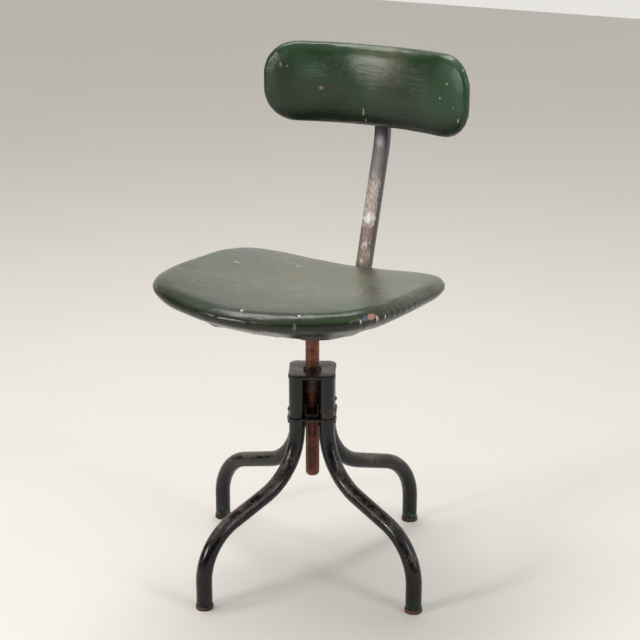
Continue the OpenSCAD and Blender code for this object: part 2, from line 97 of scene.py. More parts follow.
class Graph:
    """A principled material with short words for the nodes that feed it."""

    def __init__(self, name):
        self.material = bpy.data.materials.new(name)
        self.material.use_nodes = True
        self.tree = self.material.node_tree
        self.shader = self.tree.nodes["Principled BSDF"]
        self.place = self.tree.nodes.new("ShaderNodeTexCoord").outputs["Object"]
        self.seed = 0.0

    def put(self, socket, value):
        put(self.tree, socket, value)

    def stretched(self, stretch):
        """The place, scaled along its axes and shifted for the next texture."""
        node = self.tree.nodes.new("ShaderNodeMapping")
        self.seed += TEXTURE_STEP
        node.inputs["Location"].default_value = [self.seed * s for s in TEXTURE_SLANT]
        node.inputs["Scale"].default_value = stretch
        self.put(node.inputs["Vector"], self.place)
        return node.outputs["Vector"]

    def noise(self, scale, detail, rough=0.55, stretch=(1, 1, 1), distortion=0.0):
        node = self.tree.nodes.new("ShaderNodeTexNoise")
        self.put(node.inputs["Vector"], self.stretched(stretch))
        node.inputs["Scale"].default_value = scale
        node.inputs["Detail"].default_value = detail
        node.inputs["Roughness"].default_value = rough
        node.inputs["Distortion"].default_value = distortion
        return node.outputs["Fac"]

    def cells(self, scale):
        node = self.tree.nodes.new("ShaderNodeTexVoronoi")
        self.put(node.inputs["Vector"], self.stretched((1, 1, 1)))
        node.inputs["Scale"].default_value = scale
        return node.outputs["Distance"]

    def step(self, value, low, high, to_low=0.0, to_high=1.0):
        return smooth_step(self.tree, value, low, high, to_low, to_high)

    def calc(self, operation, a, b=0.0):
        node = self.tree.nodes.new("ShaderNodeMath")
        node.operation = operation
        self.put(node.inputs[0], a)
        self.put(node.inputs[1], b)
        return node.outputs[0]

    def mix(self, amount, a, b):
        node = self.tree.nodes.new("ShaderNodeMix")
        node.data_type = "RGBA"
        self.put(node.inputs[0], amount)
        self.put(node.inputs[6], a)
        self.put(node.inputs[7], b)
        return node.outputs[2]

    def axis(self, name):
        """One coordinate of the place in the frame, in metres."""
        node = self.tree.nodes.new("ShaderNodeSeparateXYZ")
        self.put(node.inputs[0], self.place)
        return node.outputs[name]

    def facing(self, name):
        """How far the surface faces along an axis of the frame, from -1 to 1."""
        geometry = self.tree.nodes.new("ShaderNodeNewGeometry")
        node = self.tree.nodes.new("ShaderNodeSeparateXYZ")
        self.put(node.inputs[0], geometry.outputs["Normal"])
        return node.outputs[name]

    def distance(self, point):
        """How far the place is from a point."""
        node = self.tree.nodes.new("ShaderNodeVectorMath")
        node.operation = "DISTANCE"
        self.put(node.inputs[0], self.place)
        node.inputs[1].default_value = point
        return node.outputs["Value"]

    def bump(self, height, distance, strength):
        """Raises the surface by a height; bumps add up in the order they are made."""
        node = self.tree.nodes.new("ShaderNodeBump")
        node.inputs["Strength"].default_value = strength
        node.inputs["Distance"].default_value = distance
        self.put(node.inputs["Height"], height)
        links = self.shader.inputs["Normal"].links
        if links:
            self.put(node.inputs["Normal"], links[0].from_socket)
        self.put(self.shader.inputs["Normal"], node.outputs["Normal"])

    def look(self, colour, roughness, metallic=0.0, specular=0.5):
        self.put(self.shader.inputs["Base Color"], colour)
        self.put(self.shader.inputs["Roughness"], roughness)
        self.put(self.shader.inputs["Metallic"], metallic)
        self.shader.inputs["Specular IOR Level"].default_value = specular
        return self.material


# ---------- materials ----------


def black_paint(name, rust, foot_flecks=0.0, dusty_top=0.0, specular=0.42):
    """Old gloss black paint, rubbed brown in fine speckle on the sloping runs, with a few chips."""
    g = Graph(name)
    cloud = g.noise(9, 4)
    fine = g.noise(340, 5, 0.72)
    streak = g.noise(30, 7, 0.7, stretch=(1, 1, 0.6))
    height = g.axis("Z")
    colour = g.mix(g.step(cloud, 0.35, 0.7), rgb("060607"), rgb("0c0d0f"))
    bend = g.calc("MULTIPLY", g.step(height, 0.06, 0.14), g.step(height, 0.26, 0.19))
    rubbed = g.calc("MULTIPLY", bend, g.step(g.facing("Z"), -0.1, 0.8))
    rubbed = g.calc("MULTIPLY", rubbed, rust)
    patch = g.step(g.calc("ADD", streak, g.calc("MULTIPLY", rubbed, 0.17)), 0.54, 0.72)
    speckle = g.step(g.calc("ADD", fine, g.calc("MULTIPLY", patch, 0.2)), 0.62, 0.8)
    colour = g.mix(g.calc("MULTIPLY", patch, 0.4), colour, rgb("38261d"))
    rust_tone = g.mix(streak, rgb("5c3f30"), rgb("8d8078"))
    colour = g.mix(g.calc("MULTIPLY", speckle, 0.6), colour, rust_tone)
    chips = g.noise(64, 8, 0.75, stretch=(1, 1, 0.7))
    bare = g.step(g.calc("ADD", chips, g.calc("MULTIPLY", rubbed, 0.08)), 0.73, 0.77)
    bare_tone = g.mix(fine, rgb("4d3326"), rgb("9c8f84"))
    colour = g.mix(g.calc("MULTIPLY", bare, 0.7), colour, bare_tone)
    gloss = g.step(g.noise(60, 4), 0.3, 0.75, 0.17, 0.3)
    rough = g.calc("ADD", gloss, g.calc("MULTIPLY", patch, 0.16))
    if dusty_top:
        dust = g.step(cloud, 0.2, 0.7, 0.55, 1.0)
        top = g.calc("MULTIPLY", g.step(g.facing("Z"), 0.7, 0.95), dust)
        top = g.calc("MULTIPLY", top, dusty_top)
        colour = g.mix(top, colour, g.mix(fine, rgb("2a211a"), rgb("4b4037")))
        rough = g.calc("ADD", rough, g.calc("MULTIPLY", top, 0.14))
    if foot_flecks:
        low = g.step(height, 0.055, 0.014)
        fleck = g.calc("ADD", g.noise(130, 6, 0.75), g.calc("MULTIPLY", low, 0.12))
        fleck = g.calc("MULTIPLY", g.step(fleck, 0.64, 0.72), g.step(low, 0.0, 0.3))
        colour = g.mix(g.calc("MULTIPLY", fleck, foot_flecks), colour, rgb("24503a"))
    g.bump(g.noise(220, 3), 0.0003, 0.25)
    g.bump(g.calc("ADD", speckle, bare), 0.0002, 0.45)
    return g.look(colour, rough, specular=specular)


def worn_bar_paint(name):
    """The back bar's paint: black under the backrest, grey and streaked below, rubbed to bare
    steel on the lower half of its front, brown at the very bottom; its sides stay dark."""
    g = Graph(name)
    height = g.axis("Z")
    fine = g.noise(300, 6, 0.75, stretch=(1, 1, 0.5))
    streak = g.noise(120, 8, 0.72, stretch=(1.3, 1.3, 0.16))
    sway = g.calc("ADD", height, g.calc("MULTIPLY", g.calc("SUBTRACT", streak, 0.5), 0.07))
    broad = g.step(g.calc("ABSOLUTE", g.facing("X")), 0.75, 0.45)
    grey = g.mix(fine, rgb("3f3c3b"), rgb("76716c"))
    colour = g.mix(g.step(sway, 0.665, 0.64), rgb("1a191a"), grey)
    colour = g.mix(g.step(streak, 0.6, 0.7, 0, 0.7), colour, rgb("1c1b1c"))
    bare = g.step(sway, 0.617, 0.59)
    steel = g.mix(g.step(fine, 0.38, 0.62), rgb("6f665f"), rgb("a39a92"))
    stains = g.noise(75, 6, 0.7, stretch=(1, 1, 0.5))
    steel = g.mix(g.step(stains, 0.5, 0.66, 0, 0.75), steel, rgb("6a5a50"))
    colour = g.mix(g.calc("MULTIPLY", bare, g.step(fine, 0.3, 0.5, 0.6, 1.0)), colour, steel)
    brown = g.calc("MULTIPLY", g.step(sway, 0.537, 0.525), g.step(streak, 0.42, 0.5))
    brown_tone = g.mix(fine, rgb("3c2a22"), rgb("6d5a4e"))
    colour = g.mix(g.calc("MULTIPLY", brown, 0.85), colour, brown_tone)
    white = g.calc("MULTIPLY", g.step(sway, 0.526, 0.534), g.step(sway, 0.55, 0.54))
    colour = g.mix(g.calc("MULTIPLY", white, 0.6), colour, rgb("cbc6c1"))
    side = g.mix(streak, rgb("2a2a2d"), rgb("55575c"))
    colour = g.mix(broad, side, colour)
    colour = g.mix(g.step(g.noise(34, 6, 0.7), 0.6, 0.68, 0, 0.6), colour, rgb("5a3b2c"))
    mask = g.calc("MULTIPLY", bare, broad)
    g.bump(fine, 0.0002, 0.5)
    g.bump(streak, 0.0003, 0.4)
    return g.look(colour, g.step(mask, 0, 1, 0.3, 0.42), g.calc("MULTIPLY", mask, 0.45))


def rusty_steel(name, dark, light):
    """Even red-brown rust with darker blots, finely pitted."""
    g = Graph(name)
    blot = g.noise(42, 6, 0.65)
    fine = g.noise(420, 4, 0.6)
    colour = g.mix(g.step(blot, 0.3, 0.7), rgb(dark), rgb(light))
    colour = g.mix(g.step(g.noise(110, 5, 0.7), 0.5, 0.68, 0, 0.5), colour, rgb("9a6a4f"))
    colour = g.mix(g.step(g.noise(14, 3), 0.5, 0.8, 0, 0.5), colour, rgb(dark))
    colour = g.mix(g.calc("MULTIPLY", g.step(fine, 0.45, 0.8), 0.4), colour, rgb("2b140d"))
    g.bump(blot, 0.0003, 0.4)
    g.bump(fine, 0.0002, 0.5)
    return g.look(colour, g.step(blot, 0.3, 0.7, 0.36, 0.55), 0.3)


def foot_steel(name):
    """Ferrules: brown steel with dirt and flecks of green paint."""
    g = Graph(name)
    fine = g.noise(300, 4, 0.6)
    blot = g.noise(70, 5, 0.6)
    colour = g.mix(g.step(blot, 0.35, 0.65), rgb("2c2723"), rgb("6d4f3b"))
    colour = g.mix(g.step(fine, 0.55, 0.75, 0, 0.6), colour, rgb("8d8074"))
    rear_feet = g.step(g.axis("Y"), -0.21, -0.1)
    fleck = g.calc("MULTIPLY", g.step(g.noise(55, 4), 0.6, 0.66), rear_feet)
    colour = g.mix(fleck, colour, rgb("2c5b3b"))
    g.bump(fine, 0.0003, 0.6)
    return g.look(colour, g.step(blot, 0.3, 0.7, 0.45, 0.7), 0.45)


def dull_steel(name, tone="8a837b"):
    """Screws and rivets: matt steel, darkened and brown in places."""
    g = Graph(name)
    fine = g.noise(500, 4, 0.65)
    blot = g.noise(110, 4, 0.6)
    colour = g.mix(g.step(blot, 0.4, 0.65), rgb(tone), rgb("4c3529"))
    colour = g.mix(g.step(fine, 0.5, 0.8, 0, 0.5), colour, rgb("2b2623"))
    g.bump(fine, 0.0002, 0.5)
    return g.look(colour, g.step(blot, 0.3, 0.7, 0.38, 0.6), 0.6)


def plywood(name):
    """Bare birch ply, brown with age, grain along X."""
    g = Graph(name)
    grain = g.noise(60, 6, 0.6, stretch=(0.12, 1, 1), distortion=1.2)
    pores = g.noise(700, 3, 0.6, stretch=(0.06, 1, 1))
    colour = g.mix(g.step(grain, 0.3, 0.7), rgb("6b4c31"), rgb("a37f57"))
    colour = g.mix(g.step(pores, 0.55, 0.75, 0, 0.7), colour, rgb("4b3320"))
    colour = g.mix(g.step(g.noise(8, 4), 0.45, 0.7, 0, 0.5), colour, rgb("57402c"))
    g.bump(pores, 0.0003, 0.5)
    g.bump(grain, 0.0004, 0.3)
    return g.look(colour, g.step(grain, 0.3, 0.7, 0.6, 0.75))


class Mark:
    """A chip or scuff in the leathercloth: where it is, how big, its colour and how solid it is."""

    def __init__(self, place, size, colour, solid=1.0, stretch=(1, 1, 1)):
        self.place = Vector(place)
        self.size = size
        self.colour = rgb(colour)
        self.solid = solid
        self.stretch = stretch


def leathercloth(name, marks, sheen_strength, sheen_place, sheen_size, tones, painted_shade, streaks):
    """Old green leathercloth: fine pressed grain, long shallow creases darkened with painted shade,
    a rubbed patch that also carries a painted sheen, and the given marks. Painted shade darkens it
    by the surface's normal or by its height, between the two ends of the fade given for it. The
    streaks are how strongly the creases, their painted shade and the painted sheen's streaks show."""
    g = Graph(name)
    dark, light, brown = (rgb(t) for t in tones)
    cloud = g.noise(9, 4, 0.5)
    crease = g.noise(46, 6, 0.62, stretch=(0.16, 1, 1), distortion=0.6)
    hair = g.noise(120, 6, 0.72, stretch=(0.14, 1, 1), distortion=0.8)
    grain = g.cells(900)
    pebble = g.noise(620, 2, 0.5)
    colour = g.mix(g.step(cloud, 0.35, 0.65), dark, light)
    colour = g.mix(g.step(g.noise(7, 3, 0.5), 0.48, 0.68, 0, 0.7), colour, brown)
    colour = g.mix(g.step(g.noise(38, 6, 0.7), 0.5, 0.8, 0, 0.4), colour, brown)
    # Painted shade: near-black where the surface faces down (by its normal) or lower down (by its
    # height), patchy with the cloud
    kind, low, high = painted_shade
    painted_shade_mask = g.step(g.facing("Z") if kind == "normal" else g.axis("Z"), low, high, 0, 0.9)
    painted_shade_mask = g.calc("MULTIPLY", painted_shade_mask, g.step(cloud, 0.2, 0.6, 0.8, 1))
    colour = g.mix(painted_shade_mask, colour, rgb("0c0d09"))
    # Painted sheen over a rubbed patch: a lighter grey-beige patch round the sheen place, with
    # lighter painted sheen streaks in it
    rub_and_sheen = g.step(g.distance(sheen_place), sheen_size, 0.1 * sheen_size)
    rub_and_sheen = g.calc("MULTIPLY", rub_and_sheen, g.step(g.noise(160, 6, 0.75), 0.25, 0.75, 0.15, 1.0))
    colour = g.mix(g.calc("MULTIPLY", rub_and_sheen, sheen_strength), colour, rgb("6e6754"))
    rub_sheen_streaks = g.calc("MULTIPLY", g.step(hair, 0.44, 0.7), g.calc("MULTIPLY", rub_and_sheen, streaks))
    colour = g.mix(rub_sheen_streaks, colour, rgb("857a64"))
    # Painted shade in the creases: their hollows are darkened to a near-black green
    colour = g.mix(g.step(crease, 0.4, 0.28, 0, 0.2 + streaks), colour, rgb("0f120b"))
    speck = g.step(g.noise(230, 3, 0.5), 0.77, 0.79)
    colour = g.mix(g.calc("MULTIPLY", speck, 0.6), colour, rgb("8d8461"))
    ragged = g.calc("SUBTRACT", g.noise(330, 5, 0.7), 0.5)
    for mark in marks:
        node = g.tree.nodes.new("ShaderNodeMapping")
        node.vector_type = "TEXTURE"
        node.inputs["Location"].default_value = mark.place
        node.inputs["Scale"].default_value = [mark.size * s for s in mark.stretch]
        g.put(node.inputs["Vector"], g.place)
        length = g.tree.nodes.new("ShaderNodeVectorMath")
        length.operation = "LENGTH"
        g.put(length.inputs[0], node.outputs["Vector"])
        reach = g.calc("ADD", length.outputs["Value"], g.calc("MULTIPLY", ragged, 2.4))
        amount = g.calc("MULTIPLY", g.step(reach, 1.05, 0.6), mark.solid)
        colour = g.mix(amount, colour, mark.colour)
    rough = g.calc("ADD", g.step(cloud, 0.3, 0.7, 0.22, 0.3), g.calc("MULTIPLY", rub_and_sheen, 0.1))
    g.bump(crease, 0.0013, 0.55)
    g.bump(hair, 0.0006, 0.45)
    g.bump(grain, 0.0002, 0.3)
    g.bump(pebble, 0.0002, 0.35)
    return g.look(colour, rough, specular=0.43)


# ---------- meshes ----------

def new_object(name, mesh, material):
    obj = bpy.data.objects.new(name, mesh)
    bpy.context.scene.collection.objects.link(obj)
    obj.data.materials.append(material)
    return obj


def shade_smooth(mesh, angle=None):
    mesh.polygons.foreach_set("use_smooth", [True] * len(mesh.polygons))
    if angle is not None:
        mesh.set_sharp_from_angle(angle=math.radians(angle))
    mesh.update()


def points_of(mesh):
    """The mesh's points, one row each."""
    co = np.empty(len(mesh.vertices) * 3, np.float32)
    mesh.vertices.foreach_get("co", co)
    return co.reshape(-1, 3).astype(float)


def set_points(mesh, co):
    mesh.vertices.foreach_set("co", np.asarray(co, np.float32).ravel())
    mesh.update()


def normals_of(mesh):
    values = np.empty(len(mesh.vertices) * 3, np.float32)
    mesh.vertex_normals.foreach_get("vector", values)
    return values.reshape(-1, 3).astype(float)


def baked(obj):
    """Applies the object's modifiers to its mesh."""
    graph = bpy.context.evaluated_depsgraph_get()
    mesh = bpy.data.meshes.new_from_object(obj.evaluated_get(graph))
    obj.modifiers.clear()
    old = obj.data
    obj.data = mesh
    bpy.data.meshes.remove(old)
    return obj


def joined_copy(name, node_names):
    """One mesh that holds copies of CAD nodes."""
    bm = bmesh.new()
    for n in node_names:
        bm.from_mesh(nodes[n].data)
    bmesh.ops.remove_doubles(bm, verts=bm.verts, dist=0.02 * MM)
    mesh = bpy.data.meshes.new(name)
    bm.to_mesh(mesh)
    bm.free()
    return mesh


class Pad:
    """Places on a pad in its own axes: u and v across it, w out of its sitting face."""

    def __init__(self, origin, u, v, w, centre, cover):
        self.origin = np.array(origin, float)
        self.axes = np.array([u, v, w], float)
        self.centre = np.array(centre, float)
        local = self.local(points_of(nodes[cover].data)) - [*self.centre, 0]
        angles = np.arctan2(local[:, 1], local[:, 0])
        radii = np.hypot(local[:, 0], local[:, 1])
        turns = angles / math.tau % 1
        sectors, rim_band = 36, 1.5 * MM
        sector = (turns * sectors).astype(int) % sectors
        widest = [np.flatnonzero(sector == i)[radii[sector == i].argmax()] for i in set(sector)]
        self.set_rim(turns[widest], radii[widest])
        rim = np.flatnonzero(radii > np.interp(turns, self.rim_at, self.rim) - rim_band)
        self.set_rim(turns[rim], radii[rim])

    def set_rim(self, turns, radii):
        """Takes the rim's radius at each turn, three times round so that it has no ends."""
        order = np.argsort(turns)
        turns, radii = turns[order], radii[order]
        self.rim_at = np.concatenate([turns - 1, turns, turns + 1])
        self.rim = np.tile(radii, 3)

    def local(self, co):
        return (co - self.origin) @ self.axes.T

    def world(self, local):
        return local @ self.axes + self.origin

    def facing(self, normals):
        """How far each normal faces out of the sitting face, from -1 to 1."""
        return self.local(normals + self.origin)[:, 2]

    def round_about(self, local):
        """Turn round the pad, from 0 to 1, and the distance in from its rim."""
        p = local[:, :2] - self.centre
        turn = np.arctan2(p[:, 1], p[:, 0]) / math.tau % 1
        return turn, np.interp(turn, self.rim_at, self.rim) - np.hypot(p[:, 0], p[:, 1])


def ripple(turn, waves, seed):
    """A smooth random wave round a pad, from about -1 to 1."""
    noise_gain = 1.6
    x = np.cos(turn * math.tau) * waves / math.tau
    y = np.sin(turn * math.tau) * waves / math.tau
    return np.array([noise.noise((a, b, seed)) for a, b in zip(x, y)]) * noise_gain


def spread(mesh, values, rounds):
    """Evens out one vector per vertex over the mesh, each vertex for its own number of rounds."""
    own_share, others_share = 0.4, 0.6
    ends = np.empty(len(mesh.edges) * 2, np.int32)
    mesh.edges.foreach_get("vertices", ends)
    a, b = ends.reshape(-1, 2).T
    count = np.maximum(np.bincount(np.concatenate([a, b]), minlength=len(values)), 1)
    for step in range(int(rounds.max())):
        total = np.zeros_like(values)
        np.add.at(total, a, values[b])
        np.add.at(total, b, values[a])
        evened = own_share * values + others_share * total / count[:, None]
        values = np.where((rounds > step)[:, None], evened, values)
    return values


def blow(obj, held):
    """Blows the mesh up as cloth, with the held vertices pinned, and applies the result."""
    last_frame = 20
    group = obj.vertex_groups.new(name="held")
    group.add([int(i) for i in np.flatnonzero(held)], 1.0, "REPLACE")
    cloth = obj.modifiers.new("cloth", "CLOTH")
    settings = cloth.settings
    settings.quality = 5
    settings.mass = 0.3
    settings.use_pressure = True
    settings.uniform_pressure_force = 4.0
    settings.tension_stiffness = 15
    settings.compression_stiffness = 15
    settings.bending_stiffness = 4.0
    settings.vertex_group_mass = "held"
    settings.effector_weights.gravity = 0
    cloth.collision_settings.use_collision = False
    scene = bpy.context.scene
    for step in range(1, last_frame + 1):
        scene.frame_set(step)
    baked(obj)
    scene.frame_set(1)
    obj.vertex_groups.clear()


def blown_up(
    name, pad, cad_nodes, tack_node, voxel, pull_in, cap, top_cap, sink, smooth_above, pinned_from
):
    """A cushion: the CAD solids fused, drawn in a little and blown up as cloth that its tacks hold.

    The cloth moves along the CAD's normals, between sink and cap, or top_cap on the face above
    smooth_above, so the outline stays the CAD's. The underside is pinned from pinned_from inwards.
    """
    under_face, tack_reach = -0.55, 1.1 * voxel
    top_rounds, side_rounds, fade = 12, 3, 12
    obj = bpy.data.objects.new(name, joined_copy(name, cad_nodes))
    bpy.context.scene.collection.objects.link(obj)
    remesh = obj.modifiers.new("remesh", "REMESH")
    remesh.mode = "VOXEL"
    remesh.voxel_size = voxel
    baked(obj)
    start = points_of(obj.data)
    rest_normals = normals_of(obj.data)
    local = pad.local(start)
    inset = pad.round_about(local)[1]
    under = pad.facing(rest_normals) < under_face
    tree = KDTree(len(nodes[tack_node].data.vertices))
    for i, v in enumerate(nodes[tack_node].data.vertices):
        tree.insert(v.co, i)
    tree.balance()
    near_tack = np.array([tree.find(p)[2] for p in start]) < tack_reach
    held = (under & (inset > pinned_from)) | near_tack
    drawn = start - rest_normals * np.where(held, 0, pull_in)[:, None]
    set_points(obj.data, drawn)
    blow(obj, held)
    high = np.clip((local[:, 2] - smooth_above) / fade / MM, 0, 1)
    rounds = np.where(high > 0, top_rounds, side_rounds)
    moved = spread(obj.data, points_of(obj.data) - start, rounds)
    out = (moved * rest_normals).sum(axis=1)
    top = cap + (top_cap - cap) * high
    moved = rest_normals * np.clip(out, sink, top)[:, None]
    set_points(obj.data, start + moved)
    smooth = obj.modifiers.new("smooth", "SUBSURF")
    smooth.levels = smooth.render_levels = 1
    return baked(obj)


def pull_folds(obj, pad, tacks, seed, height, from_depth, fade_inset):
    """Puckers of the cover round its lower edge, drawn towards the tacks."""
    low_fade, inner_fade, side_on = 12, 18, 0.45
    co = points_of(obj.data)
    local = pad.local(co)
    turn, inset = pad.round_about(local)
    normals = normals_of(obj.data)
    facing = pad.facing(normals)
    low = np.clip((from_depth - local[:, 2]) / low_fade / MM, 0, 1)
    away = np.clip((fade_inset - inset) / inner_fade / MM, 0, 1)
    strength = low * away * np.clip(side_on - facing, 0, 1)
    wave = np.abs(np.sin(turn * math.pi * tacks))
    pucker = (wave - 0.55) * (0.35 + 0.5 * ripple(turn, 9, seed))
    pucker += 0.9 * np.maximum(ripple(turn, 22, seed + 5), 0) ** 1.3
    pucker -= 0.4 * np.maximum(ripple(turn, 70, seed + 9) - 0.25, 0)
    set_points(obj.data, co + normals * (height * strength * pucker)[:, None])


def even_face(obj, pad, from_inset, rounds):
    """Evens out the middle of the sitting face, so that it curves without a crease."""
    co = points_of(obj.data)
    inset = pad.round_about(pad.local(co))[1]
    face = pad.facing(normals_of(obj.data)) > 0.5
    set_points(obj.data, spread(obj.data, co, np.where(face & (inset > from_inset), rounds, 0)))


def lump(obj, pad, at_turn, half_width, height, depth, half_depth):
    """A soft roll of the cover along the pad's side, or a dip where the height is negative."""
    inner_fade = 50
    co = points_of(obj.data)
    local = pad.local(co)
    turn, inset = pad.round_about(local)
    across = (turn - at_turn + 0.5) % 1 - 0.5
    bulge = np.exp(-(across / half_width) ** 2 - ((local[:, 2] - depth) / half_depth) ** 2)
    bulge *= np.clip(1.6 - inset / inner_fade / MM, 0, 1)
    set_points(obj.data, co + normals_of(obj.data) * (height * bulge)[:, None])


def pleats(obj, pad, first, last, count, height, low, high):
    """Upright pleats in the cover where it is gathered round a corner."""
    fade, sway_length, deepest_inset = 9, 9, 30 * MM
    co = points_of(obj.data)
    local = pad.local(co)
    turn, inset = pad.round_about(local)
    along = (turn - first) % 1 / ((last - first) % 1)
    ends = np.clip(1 - np.abs(2 * along - 1), 0, 1) ** 0.5 * (along < 1)
    tall = np.clip((local[:, 2] - low) / fade / MM, 0, 1)
    tall *= np.clip((high - local[:, 2]) / fade / MM, 0, 1)
    bend = 0.25 * np.sin(local[:, 2] / MM / sway_length)
    sway = along * count + bend + 0.6 * ripple(turn, 30, 1.0)
    fold = np.abs(np.sin(sway * math.pi)) ** 0.6 - 0.75
    out = height * ends * tall * fold * (inset < deepest_inset)
    set_points(obj.data, co + normals_of(obj.data) * out[:, None])


def cut_edge(obj, pad, edge_inset, wander, seed, rise):
    """Ends the cover under the pad at a wandering cut edge: inside it the skin steps up into the
    board, which then shows."""
    snap_reach = 1.3 * MM
    local = pad.local(points_of(obj.data))
    turn, inset = pad.round_about(local)
    under = pad.facing(normals_of(obj.data)) < -0.6
    edge = edge_inset + wander * (ripple(turn, 16, seed) + 0.5 * ripple(turn, 55, seed + 3))
    past = inset - edge
    snap = under & (np.abs(past) < snap_reach)
    p = local[:, :2] - pad.centre
    radius = np.hypot(p[:, 0], p[:, 1])
    factor = np.where(snap, (radius + past) / np.maximum(radius, 1e-6), 1.0)
    local[:, :2] = pad.centre + p * factor[:, None]
    local[under & ~snap & (past > 0), 2] += rise
    set_points(obj.data, pad.world(local))


# ---------- the seat and the backrest ----------

seat_back = Vector(joints["bar_depth"]["axis"]).normalized()
seat_up = Vector((1, 0, 0)).cross(seat_back)
cover_tree = BVHTree.FromObject(nodes["seat_cover"], bpy.context.evaluated_depsgraph_get())
seat_top = cover_tree.ray_cast(Vector((0, 0, 1)), Vector((0, 0, -1)))[0]
seat_low, seat_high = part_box("seat_cover")
seat_middle = (0, (seat_low.y + seat_high.y) / 2)
seat_pad = Pad(seat_top, (1, 0, 0), seat_back, seat_up, seat_middle, "seat_cover")
back_low, back_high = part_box("back_cover")
back_middle = Vector((0, back_high.y, (back_low.z + back_high.z) / 2))
back_pad = Pad(back_middle, (1, 0, 0), (0, 0, 1), (0, -1, 0), (0, 0), "back_cover")
back_tree = BVHTree.FromObject(nodes["back_cover"], bpy.context.evaluated_depsgraph_get())


def on_seat(u, v):
    """Point on the seat's top at shares of its half width and of its depth from the front."""
    y = seat_low.y + v * (seat_high.y - seat_low.y)
    hit = cover_tree.ray_cast(Vector((u * seat_high.x, y, 1)), Vector((0, 0, -1)))[0]
    return hit or seat_top


def on_back(u, v):
    """Point on the backrest's front at shares of its half width and half height."""
    z = back_middle.z + v * (back_high.z - back_low.z) / 2
    hit = back_tree.ray_cast(Vector((u * back_high.x, -1, z)), Vector((0, 1, 0)))[0]
    return hit or back_middle


def on_side(turn, share):
    """Point on the seat's side: how far round it from +X, and the share of its height."""
    z = seat_low.z + share * (seat_high.z - seat_low.z)
    centre = Vector((0, seat_pad.world(np.array([*seat_pad.centre, 0.0]))[1], z))
    way = Vector((math.cos(turn * math.tau), math.sin(turn * math.tau), 0))
    hit = cover_tree.ray_cast(centre + way, -way)[0]
    return hit or centre


CREAM = "d8cfa4"
DEEP_GREEN = "182614"

seat_marks = [
    Mark(on_seat(0.045, 0.05), 4 * MM, CREAM, 0.85, (0.8, 1.2, 1)),
    Mark(on_seat(0.045, 0.055), 2.6 * MM, DEEP_GREEN, 1.0, (0.8, 1.6, 1)),
    Mark(on_seat(0.47, 0.08), 1.8 * MM, "ece6d2", 1.0),
    Mark(on_side(0.829, 0.76), 4 * MM, "65736e", 0.6, (0.9, 0.9, 2.4)),
    Mark(on_side(0.9, 0.84), 6 * MM, CREAM, 0.95, (0.3, 0.5, 1.5)),
    Mark(on_side(0.908, 0.88), 6 * MM, "46586a", 0.6, (1.1, 1.2, 1)),
    Mark(on_seat(0.909, 0.216), 6.5 * MM, "b98676", 0.85, (1.2, 1.4, 0.8)),
    Mark(on_side(0.922, 0.86), 6 * MM, CREAM, 0.95, (0.45, 0.3, 1.4)),
    Mark(on_side(0.936, 0.8), 6 * MM, CREAM, 0.9, (0.4, 0.3, 1.2)),
    Mark(on_seat(-0.64, 0.62), 2.6 * MM, CREAM, 0.7, (2.6, 0.7, 1)),
    Mark(on_seat(-0.25, 0.77), 3.4 * MM, "c9c3a8", 0.6, (1.6, 0.8, 1)),
    Mark(on_seat(-0.61, 0.25), 1.6 * MM, CREAM, 0.8),
    Mark(on_seat(-0.21, 0.26), 2.2 * MM, "a5a487", 0.5, (1.8, 1, 1)),
    Mark(on_seat(0.3, 0.4), 3 * MM, "8f8b74", 0.4, (2.4, 1, 1)),
]
back_marks = [
    Mark(on_back(-0.454, -0.09), 4 * MM, "94805f", 0.75, (1.1, 1, 0.9)),
    Mark(on_back(-0.07, -0.62), 1.2 * MM, CREAM, 0.8, (0.8, 1, 9)),
    Mark(on_back(-0.055, -0.85), 1.2 * MM, CREAM, 0.7, (0.8, 1, 6)),
    Mark(on_back(0.72, -0.02), 1.7 * MM, CREAM, 0.7),
    Mark(on_back(0.79, 0.34), 1.5 * MM, CREAM, 0.7, (1.6, 1, 1)),
    Mark(on_back(0.86, -0.19), 2 * MM, "8d8461", 0.6, (0.8, 1, 1.6)),
    Mark(on_back(0.91, -0.5), 1.6 * MM, CREAM, 0.8, (0.7, 1, 2.4)),
    Mark(on_back(-0.82, 0.44), 2 * MM, "a8a184", 0.6, (1, 1, 2)),
    Mark(on_back(-0.76, 0.4), 1.2 * MM, CREAM, 0.6),
    Mark(on_back(0.93, 0.69), 2.2 * MM, "a8a184", 0.6, (1, 1, 1.4)),
    Mark(on_back(0.45, 0.1), 1.4 * MM, "8d8461", 0.5),
]

# Both cloths carry a painted sheen at their sheen place; the seat's painted shade darkens where it
# faces down, the back's towards its bottom
seat_cloth = leathercloth(
    "seat_leathercloth", seat_marks, sheen_strength=0.55, sheen_place=on_seat(0.1, 0.62), sheen_size=0.27,
    tones=("14230f", "1f3617", "252819"), painted_shade=("normal", 0.45, 0.0), streaks=0.6
)
back_cloth = leathercloth(
    "back_leathercloth", back_marks, sheen_strength=0.7, sheen_place=on_back(0.1, 0.7), sheen_size=0.07,
    tones=("20381f", "2b4a30", "2b3320"), painted_shade=("height", 0.745, 0.69), streaks=0.12
)

seat_cushion = blown_up(
    "seat_cushion", seat_pad, ("seat_cover", "seat_padding", "seat_board"), "seat_tacks",
    voxel=5 * MM, pull_in=2 * MM, cap=1.5 * MM, top_cap=0.4 * MM, sink=-0.2 * MM,
    smooth_above=-34 * MM, pinned_from=56 * MM
)
even_face(seat_cushion, seat_pad, from_inset=22 * MM, rounds=40)
pull_folds(
    seat_cushion, seat_pad, tacks=27, seed=4.0, height=2.4 * MM, from_depth=-26 * MM,
    fade_inset=60 * MM
)
